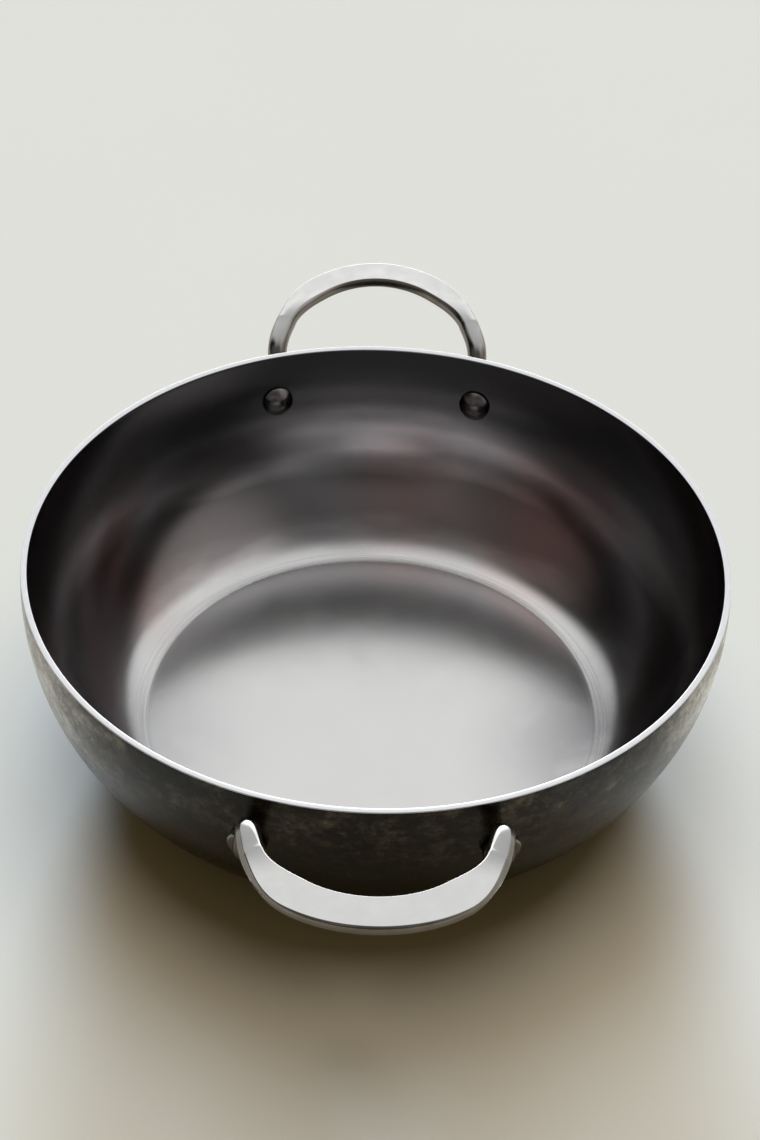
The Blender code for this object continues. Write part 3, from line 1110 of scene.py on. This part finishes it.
def satin_steel():
    material, steel, shader = start_material("satin_inside")
    place = steel.add("TexCoord").outputs["Object"]
    height = steel.vector("DOT_PRODUCT", place, (0.0, 0.0, 1.0))
    broad = steel.noise(spun_coordinate(steel, *BROAD_MARKS), 1.0, detail=4.0)
    fine = steel.noise(spun_coordinate(steel, *FINE_MARKS), 1.0, detail=3.0)
    ripple = steel.noise(spun_coordinate(steel, *RIPPLE_MARKS), 1.0, detail=1.0)
    cloud = steel.noise(place, CLOUD_SCALE, detail=4.0)
    grain = steel.noise(place, GRAIN_SCALE, detail=1.0)
    at_edge = near_floor_edge(steel, place)
    swing = steel.math("MULTIPLY", at_edge, steel.spread(ripple, *RIPPLE_SWING))
    colour = inside_colour(steel, place, height, broad, cloud)
    colour = steel.scaled(colour, steel.math("ADD", swing, 1.0))
    rough = inside_roughness(steel, height, broad, fine, at_edge)
    fill_steel(steel, shader, colour, rough, steel.weighed((fine, 0.7), (grain, 0.3)), *SATIN_BUMP)
    return material


inside_finish = satin_steel()
print("inside finish:", inside_finish.name, "with", len(inside_finish.node_tree.nodes), "nodes")

# %% [markdown]
# ## The dark outside
#
# The outside has been oiled and burnt on: a thin, uneven, brown-black skin over the same steel. Such a
# skin is a varnish. It mirrors little where it is seen face on and much where it is seen edge on, so
# the sides of the pan shine and its front stays dark. Where the skin is worn, grey steel comes through.
#
# Five noises do it. Smears, which are stretched round the pan, blotches and specks add up to one value,
# and it sets the colour, the roughness and how metallic the skin is, so that all three change together.
# Stains are tan near the rim. Fine marks count only in the bump. Low down the skin is darker, as painted
# shade. On the two sides a pale steel colour is mixed in within a reach of two points; it is partly wear and
# partly a painted sheen that makes the sides shine more than the front.

# %% The outside
OUTSIDE_COLOURS = (
    (0.40, (0.007, 0.006, 0.005)),
    (0.50, (0.019, 0.0168, 0.014)),
    (0.60, (0.068, 0.060, 0.050)),
)
SMEAR_MARKS = (2.4, 55.0)
STAIN_MARKS = (8.0, 100.0)
SKIN_MARKS = (30.0, 1200.0)
BLOTCH_SCALE = 75.0
SPECK_SCALE = 320.0
TAN_STAIN = (0.20, 0.168, 0.112)
TAN_SHARE = (0.46, 0.66, 0.0, 0.24)
NEAR_RIM = (0.058, 0.086)
# pale steel on both sides: partly wear, partly painted sheen
WEAR_AND_SHEEN_COLOUR = (0.90, 0.827, 0.72)
WEAR_AND_SHEEN_PATCHES = (((0.136, -0.030, 0.070), 0.084, 1.0), ((-0.131, -0.048, 0.066), 0.080, 0.58))
WEAR_AND_SHEEN_BREAK = (0.40, 0.56, 0.40, 1.0)
MOTTLE = (0.40, 0.60, 0.66, 1.28)
# painted shade: the skin gets darker low down
LOW_SHADE = (0.040, 0.076, 0.24, 1.0)
SKIN_ROUGHNESS = (0.35, 0.65, 0.29, 0.23)
SKIN_METAL = (0.40, 0.62, 0.35, 0.95)
SKIN_SHINE = 0.3
SKIN_BUMP = (0.20, 0.00015)


def skin_colour(steel, place, height, skin, stains, specks):
    """The burnt colour, then tan stains, wear with a painted sheen on the sides and mottle over it, and a
    painted shade low down.
    """
    colour = steel.colours(skin, OUTSIDE_COLOURS)
    tan = steel.math("MULTIPLY", steel.spread(height, *NEAR_RIM), steel.spread(stains, *TAN_SHARE))
    colour = steel.blend(tan, colour, (*TAN_STAIN, 1.0))
    for centre, reach, share in WEAR_AND_SHEEN_PATCHES:
        near = steel.spread(steel.vector("DISTANCE", place, centre), 0.0, reach, share, 0.0)
        wear_and_sheen = steel.math("MULTIPLY", near, steel.spread(skin, *WEAR_AND_SHEEN_BREAK))
        colour = steel.blend(wear_and_sheen, colour, (*WEAR_AND_SHEEN_COLOUR, 1.0))
    mottle = steel.weighed((specks, 0.5), (stains, 0.5))
    colour = steel.scaled(colour, steel.spread(mottle, *MOTTLE))
    return steel.scaled(colour, steel.spread(height, *LOW_SHADE))


def burnt_steel():
    material, steel, shader = start_material("burnt_outside")
    place = steel.add("TexCoord").outputs["Object"]
    height = steel.vector("DOT_PRODUCT", place, (0.0, 0.0, 1.0))
    smears = steel.noise(spun_coordinate(steel, *SMEAR_MARKS), 1.0, detail=6.0, roughness=0.6)
    stains = steel.noise(spun_coordinate(steel, *STAIN_MARKS), 1.0, detail=9.0, roughness=0.75)
    fine = steel.noise(spun_coordinate(steel, *SKIN_MARKS), 1.0, detail=2.0)
    blotches = steel.noise(place, BLOTCH_SCALE, detail=8.0, roughness=0.72)
    specks = steel.noise(place, SPECK_SCALE, detail=5.0, roughness=0.7)
    skin = steel.weighed((smears, 0.45), (blotches, 0.33), (specks, 0.22))
    colour = skin_colour(steel, place, height, skin, stains, specks)
    rough = steel.spread(skin, *SKIN_ROUGHNESS)
    metallic = steel.spread(skin, *SKIN_METAL)
    marks = steel.math("ADD", steel.math("MULTIPLY", fine, 0.3), skin)
    fill_steel(steel, shader, colour, rough, marks, *SKIN_BUMP, metallic)
    steel.fill(shader, {"Specular IOR Level": SKIN_SHINE})
    return material


outside_finish = burnt_steel()
print("outside finish:", outside_finish.name, "with", len(outside_finish.node_tree.nodes), "nodes")

# %% [markdown]
# ## The cut rim
#
# The rim is the bare edge of the sheet. It was cut and filed, so it is brighter and smoother than the
# rest, with fine marks along the cut.

# %% The rim
RIM_MARKS = (30.0, 5000.0)
RIM_COLOURS = ((0.64, 0.65, 0.67), (0.70, 0.71, 0.73))
RIM_ROUGHNESS = (0.14, 0.20)
RIM_BUMP = (0.05, 0.00002)


def filed_steel():
    material, steel, shader = start_material("filed_rim")
    marks = steel.noise(spun_coordinate(steel, *RIM_MARKS), 1.0, detail=2.0)
    rough = steel.spread(marks, *NOISE_ENDS, *RIM_ROUGHNESS)
    fill_steel(steel, shader, steel.noisy_colour(marks, *RIM_COLOURS), rough, marks, *RIM_BUMP)
    return material


for material in (inside_finish, filed_steel(), outside_finish):
    shell.data.materials.append(material)
print("finishes on the shell:", [material.name for material in shell.data.materials])

# %% [markdown]
# ## Polished handles
#
# The handles are stainless steel. Their flat tops are polished, nearly to a mirror. The rest has a duller
# and browner colour, which is partly the casting's skin and partly painted shade on the sides, and it is
# darkest underneath, which is painted shade. The surface's own direction tells them apart: the more it
# points up, the lighter and more polished it is. The polish colour is also darker on the arms, behind the
# grip. Both changes are slow, so there is no seam where the flat runs into the round arms. Fine hairlines
# soften both finishes.

# %% The handles
HAIRLINES = (300.0, 4000.0, 4000.0)
HANDLE_CLOUD = 120.0
POLISH_COLOURS = ((0.60, 0.60, 0.595), (0.64, 0.64, 0.635))
CAST_SKIN_AND_SHADE_COLOURS = ((0.175, 0.155, 0.128), (0.230, 0.206, 0.174))
POLISHED_AND_LIT_FROM = (0.45, 0.97)
GRIP_FROM = (0.158, 0.172)
ARM_POLISH = 0.56
UNDER_SHADE = (-0.35, 0.15, 0.50, 1.0)
HANDLE_ROUGHNESS = (0.09, 0.15)
CAST_ROUGHER = 0.08
HANDLE_BUMP = (0.05, 0.00002)


def polished_steel():
    material, steel, shader = start_material("polished_handle")
    place = steel.add("TexCoord").outputs["Object"]
    hair = steel.noise(steel.vector("MULTIPLY", place, HAIRLINES), 1.0, detail=2.0)
    cloud = steel.noise(place, HANDLE_CLOUD, detail=3.0)
    up = steel.vector("DOT_PRODUCT", steel.add("TexCoord").outputs["Normal"], (0.0, 0.0, 1.0))
    # the dark colour of the sides and underside: partly the casting's skin, partly painted shade
    cast_and_shade = steel.noisy_colour(cloud, *CAST_SKIN_AND_SHADE_COLOURS)
    cast_and_shade = steel.scaled(cast_and_shade, steel.spread(up, *UNDER_SHADE))
    forward = steel.vector("DOT_PRODUCT", place, (0.0, -1.0, 0.0))
    polish = steel.noisy_colour(cloud, *POLISH_COLOURS)
    polish = steel.scaled(polish, steel.spread(forward, *GRIP_FROM, ARM_POLISH, 1.0))
    # surfaces that point less up get the dark colour, which is partly painted shade
    polished = steel.spread(up, *POLISHED_AND_LIT_FROM)
    smooth = steel.spread(cloud, *NOISE_ENDS, *HANDLE_ROUGHNESS)
    rough = steel.math("ADD", smooth, steel.spread(polished, 0.0, 1.0, CAST_ROUGHER, 0.0))
    fill_steel(steel, shader, steel.blend(polished, cast_and_shade, polish), rough, hair, *HANDLE_BUMP)
    return material


handles[0].data.materials.append(polished_steel())
print("handle finish:", handles[1].data.materials[0].name)

# %% [markdown]
# ## Dark rivets
#
# The rivets are plain steel that has darkened with the pan. A small, cloudy noise is enough for them,
# because the heads are so small. All four share one mesh, so the finish is given once.

# %% The rivets' steel
RIVET_CLOUD = 350.0
RIVET_COLOURS = ((0.16, 0.15, 0.148), (0.23, 0.215, 0.205))
RIVET_ROUGHNESS = (0.16, 0.24)
RIVET_BUMP = (0.06, 0.0001)


def dark_rivet_steel():
    material, steel, shader = start_material("dark_rivet")
    cloud = steel.noise(steel.add("TexCoord").outputs["Object"], RIVET_CLOUD, detail=4.0)
    rough = steel.spread(cloud, *NOISE_ENDS, *RIVET_ROUGHNESS)
    fill_steel(steel, shader, steel.noisy_colour(cloud, *RIVET_COLOURS), rough, cloud, *RIVET_BUMP)
    return material


rivets[0].data.materials.append(dark_rivet_steel())
print("rivet finish:", rivets[3].data.materials[0].name)

# %% [markdown]
# ## The size
#
# The dressed pan has to be as large as the working model.
